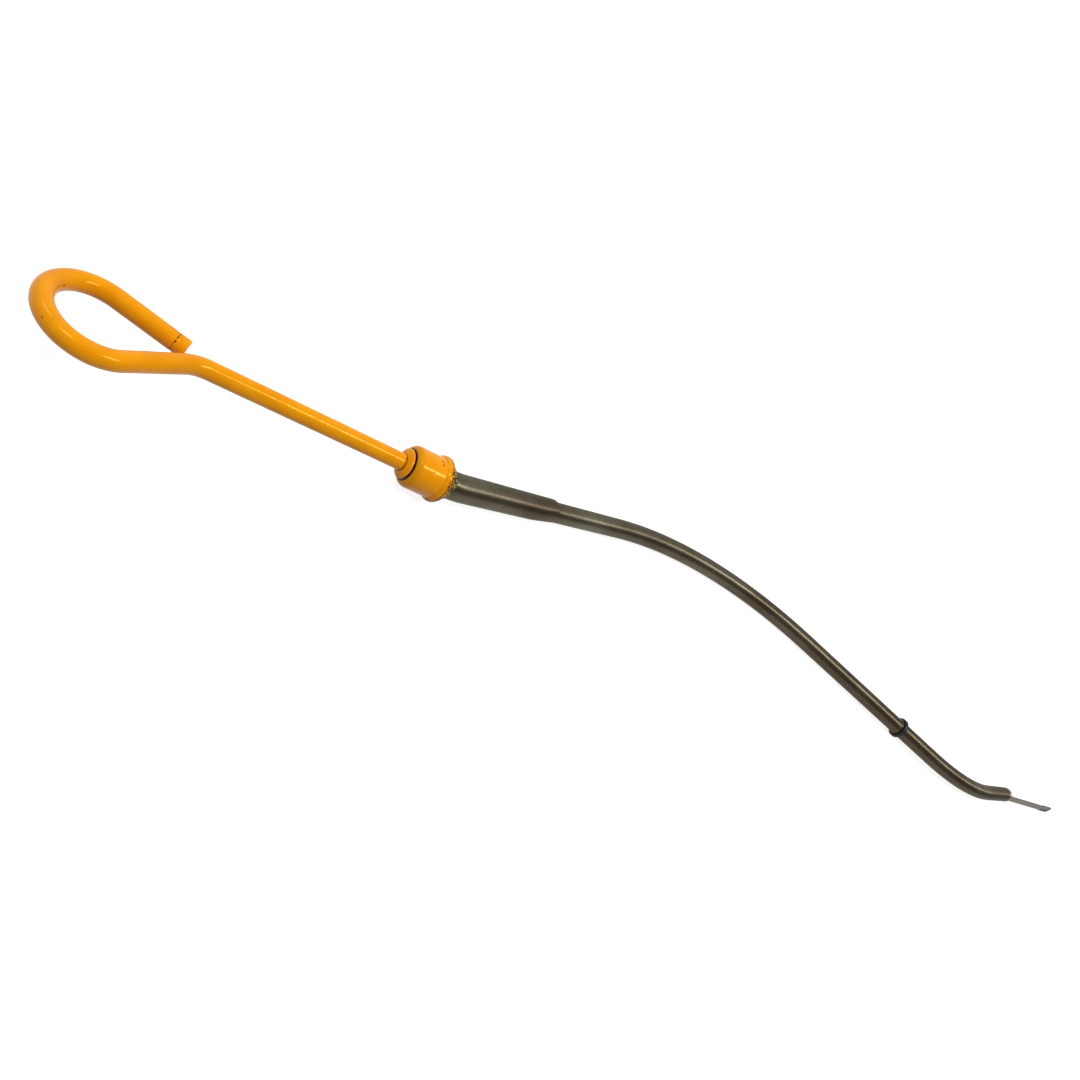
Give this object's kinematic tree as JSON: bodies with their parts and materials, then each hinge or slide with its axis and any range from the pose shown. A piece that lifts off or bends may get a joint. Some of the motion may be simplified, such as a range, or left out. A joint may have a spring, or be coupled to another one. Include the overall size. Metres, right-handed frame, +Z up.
{
  "type": "engine oil dipstick",
  "caption": "Engine oil dipstick with a looped rod handle, domed cap and flat gauge blade, seated in its stepped, S-bent steel guide tube with a rubber seal ring.",
  "frame": {"origin": "middle of the footprint, on the surface that the dipstick lies on", "axes": "+X along the length, from the finger loop to the blade's tip; +Y to the left of it; +Z up"},
  "size_m": [0.9837, 0.133, 0.0263],
  "materials": {
    "handle_paint": "gloss orange paint, chipped and crazed",
    "tube_steel": "dark oiled steel with an oxide film",
    "blade_steel": "oil-stained spring steel",
    "plated_steel": "zinc plated",
    "seal_rubber": "matt black, aged"
  },
  "bodies": {
    "root": {"handle_rod": "handle_paint", "handle_collar": "handle_paint", "cap_shell": "handle_paint", "cap_washer": "plated_steel", "cap_seal": "seal_rubber", "gauge_blade": "blade_steel", "blade_rivets": "plated_steel", "upper_tube": "tube_steel", "lower_tube": "tube_steel", "seal_ring": "seal_rubber"}
  },
  "joints": []
}
